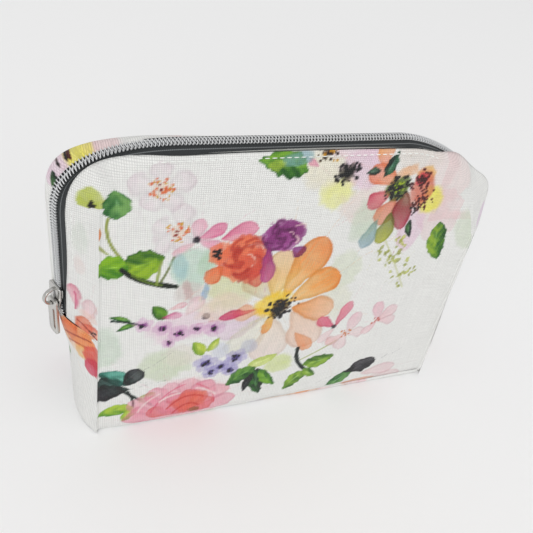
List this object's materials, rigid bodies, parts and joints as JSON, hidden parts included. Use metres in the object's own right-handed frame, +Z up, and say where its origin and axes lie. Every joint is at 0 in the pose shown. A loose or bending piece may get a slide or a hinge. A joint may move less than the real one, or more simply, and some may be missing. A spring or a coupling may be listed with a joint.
{
  "type": "makeup bag",
  "caption": "Boxy standing fabric pouch with a zip over its top from side to side, a front that folds forward to open, and a slider with a hanging pull tab.",
  "frame": {"origin": "centre of the flat base, on the surface that the bag stands on", "axes": "+Z up; +X along the bag's length, towards the zip's closed end on the right; -Y towards the front panel"},
  "size_m": [0.2152, 0.0514, 0.147],
  "materials": {
    "canvas": "woven, printed with watercolour flowers",
    "foam": "soft foam sheet",
    "board": "matte sheet",
    "lining": "plain woven lining",
    "zip_tape": "ribbed woven tape",
    "zip_coil": "silver metallised coil",
    "nickel": "polished nickel plate",
    "spring_steel": "plain",
    "satin_nickel": "satin nickel plate"
  },
  "bodies": {
    "bag": {"front_panel_lower": "canvas", "back_panel": "canvas", "base_panel": "canvas", "left_side_gusset": "canvas", "right_side_gusset": "canvas", "front_padding_lower": "foam", "back_padding": "foam", "base_board": "board", "front_lining_lower": "lining", "back_lining": "lining", "base_lining": "lining", "left_side_lining": "lining", "right_side_lining": "lining", "rear_zip_tape": "zip_tape", "front_zip_tape_ends": "zip_tape", "rear_zip_coil": "zip_coil", "front_zip_coil_ends": "zip_coil", "left_zip_stop": "nickel", "right_zip_stop": "nickel"},
    "front_flap": {"front_panel_upper": "canvas", "front_padding_upper": "foam", "front_lining_upper": "lining", "front_zip_tape": "zip_tape", "front_zip_coil": "zip_coil"},
    "slider": {"slider_body": "nickel", "slider_crown": "nickel", "slider_lock_spring": "spring_steel"},
    "pull": {"pull_tab": "satin_nickel"}
  },
  "joints": [
    {"name": "mouth_open", "type": "hinge", "parent": "bag", "child": "front_flap", "pos_m": [0, -0.01639, 0.085], "axis": [1, 0, 0], "range_deg": [0, 38]},
    {"name": "slider_run", "type": "slide", "parent": "bag", "child": "slider", "axis": [0, 0, 1], "range_m": [0, 0.036]},
    {"name": "pull_swing", "type": "hinge", "parent": "slider", "child": "pull", "pos_m": [-0.10582, -0.00141, 0.0725], "axis": [-0.4472, 0.8944, 0], "range_deg": [0, 175]}
  ]
}
